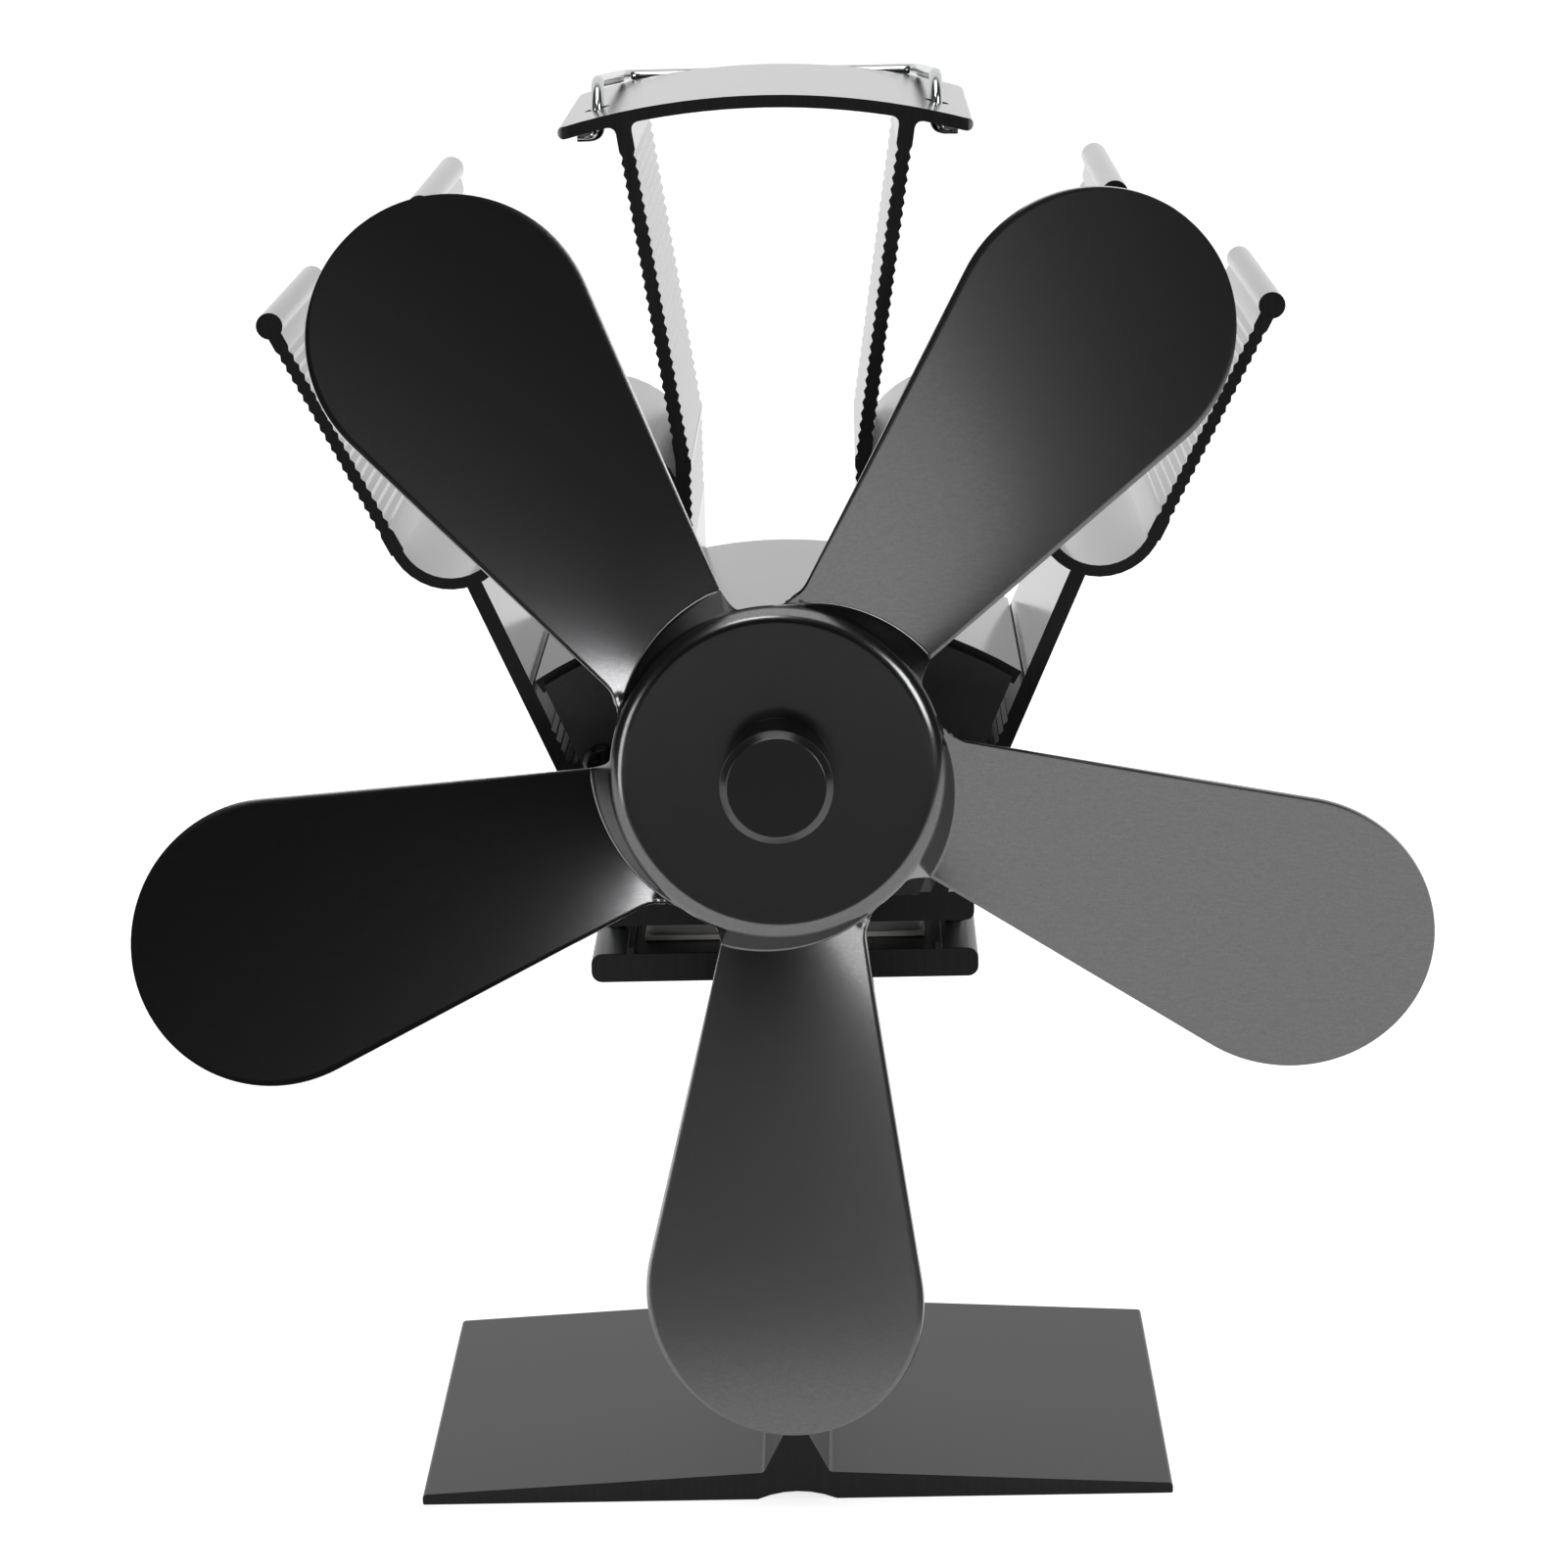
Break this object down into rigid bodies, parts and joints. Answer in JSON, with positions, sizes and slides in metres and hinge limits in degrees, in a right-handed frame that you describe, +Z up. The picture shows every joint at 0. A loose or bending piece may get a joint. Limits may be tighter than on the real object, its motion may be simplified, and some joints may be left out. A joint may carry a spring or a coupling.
{
  "type": "stove fan",
  "caption": "Heat-powered stove-top fan: wide foot and stem, thermoelectric module, finned radiator, motor with a leaning bladed wheel and a folding wire handle.",
  "frame": {"origin": "middle of the bounding box seen from above, on the stove's surface", "axes": "+Z up, -Y towards the side the wheel faces, +X to the right as seen from the wheel's side"},
  "size_m": [0.1785, 0.1016, 0.2055],
  "materials": {
    "anodised_base": "black anodised, satin",
    "anodised_radiator": "black anodised, satin",
    "black_sheet": "black, finely brushed",
    "black_turned": "black, satin",
    "red_sleeve": "satin",
    "black_sleeve": "satin",
    "ceramic": "matt, stands in for alumina ceramic",
    "semiconductor": "dull grey",
    "silicone": "matt light grey",
    "plated_steel": "zinc plated",
    "nylon": "natural nylon",
    "bronze": "sintered bronze",
    "ferrite": "matt dark grey",
    "copper": "copper",
    "laminations": "steel sheets",
    "bright_steel": "bright steel"
  },
  "bodies": {
    "stand": {"motor_can": "plated_steel", "front_bearing": "bronze", "rear_bearing": "bronze", "motor_magnet_right": "ferrite", "motor_magnet_left": "ferrite", "motor_end_cap": "nylon", "motor_terminal_right": "copper", "motor_terminal_left": "copper", "motor_screw_upper": "plated_steel", "motor_screw_lower": "plated_steel", "base_extrusion": "anodised_base", "module_hot_ceramic": "ceramic", "module_elements": "semiconductor", "module_seal": "silicone", "module_cold_ceramic": "ceramic", "module_lead_red": "red_sleeve", "module_lead_black": "black_sleeve", "clamp_screw_front_left": "plated_steel", "clamp_washer_front_left": "nylon", "clamp_screw_front_right": "plated_steel", "clamp_washer_front_right": "nylon", "clamp_screw_back_left": "plated_steel", "clamp_washer_back_left": "nylon", "clamp_screw_back_right": "plated_steel", "clamp_washer_back_right": "nylon", "radiator": "anodised_radiator", "motor_bracket": "black_turned", "bracket_screw_left": "plated_steel", "bracket_screw_right": "plated_steel"},
    "wheel": {"armature_core": "laminations", "armature_coil_1": "copper", "armature_coil_2": "copper", "armature_coil_3": "copper", "commutator": "copper", "motor_shaft": "bright_steel", "hub_boss": "black_turned", "hub_ring": "bright_steel", "fan_wheel": "black_sheet"},
    "handle": {"carry_handle": "bright_steel"}
  },
  "joints": [
    {"name": "wheel_spin", "type": "hinge", "parent": "stand", "child": "wheel", "pos_m": [0, -0.0332, 0.1136], "axis": [0, -0.9947, 0.1028], "continuous": true},
    {"name": "handle_fold", "type": "hinge", "parent": "stand", "child": "handle", "pos_m": [0, 0.001, 0.20043], "axis": [1, 0, 0], "range_deg": [0, 90]}
  ]
}
